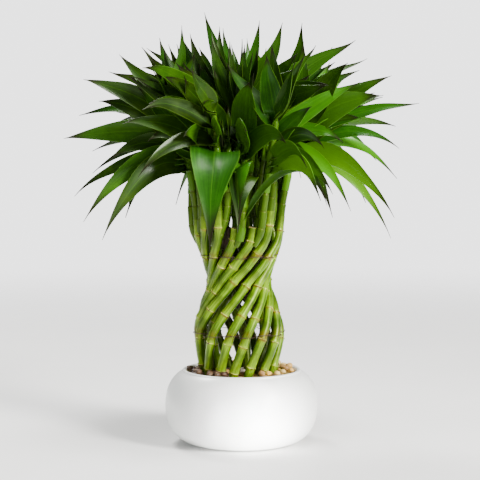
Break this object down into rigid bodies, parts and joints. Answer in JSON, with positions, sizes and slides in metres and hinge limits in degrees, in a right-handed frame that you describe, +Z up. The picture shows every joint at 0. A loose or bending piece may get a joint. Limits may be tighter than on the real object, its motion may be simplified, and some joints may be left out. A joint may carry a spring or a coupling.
{
  "type": "lucky bamboo house plant",
  "caption": "House plant: green canes twisted into an hourglass under a full crown of long pointed leaves, standing in a low round white bowl of pebbles.",
  "frame": {"origin": "middle of the bowl's flat foot", "axes": "+Z up along the plant; the plant's front looks along -Y"},
  "size_m": [0.408, 0.3215, 0.507],
  "materials": {
    "bowl": "satin off-white glaze, lightly mottled, with a smooth rounded lip",
    "pebbles": "smooth river pebbles in cream, tan and reddish brown",
    "cane": "waxy yellow-green skin with pale rings and brown-tinged scars, cut ends dry and yellow",
    "leaf": "glossy deep green blades with fine lengthwise veins and dark tips, on smooth green shoots",
    "tie_wire": "thin wire with a dull brown coat"
  },
  "bodies": {
    "root": {"bowl": "bowl", "pebble_bed": "pebbles", "pebble_01": "pebbles", "pebble_02": "pebbles", "pebble_03": "pebbles", "pebble_04": "pebbles", "pebble_05": "pebbles", "pebble_06": "pebbles", "pebble_07": "pebbles", "pebble_08": "pebbles", "pebble_09": "pebbles", "pebble_10": "pebbles", "pebble_11": "pebbles", "pebble_12": "pebbles", "cane_01": "cane", "cane_02": "cane", "cane_03": "cane", "cane_04": "cane", "cane_05": "cane", "cane_06": "cane", "cane_07": "cane", "cane_08": "cane", "cane_09": "cane", "cane_10": "cane", "cane_11": "cane", "cane_12": "cane", "cane_13": "cane", "cane_14": "cane", "crown_01": "leaf", "crown_02": "leaf", "crown_03": "leaf", "crown_04": "leaf", "crown_05": "leaf", "crown_06": "leaf", "crown_07": "leaf", "crown_08": "leaf", "crown_09": "leaf", "crown_10": "leaf", "crown_11": "leaf", "crown_12": "leaf", "crown_13": "leaf", "crown_14": "leaf", "lower_tie_wire_a": "tie_wire", "lower_tie_wire_b": "tie_wire", "upper_tie_wire_a": "tie_wire", "upper_tie_wire_b": "tie_wire"}
  },
  "joints": []
}
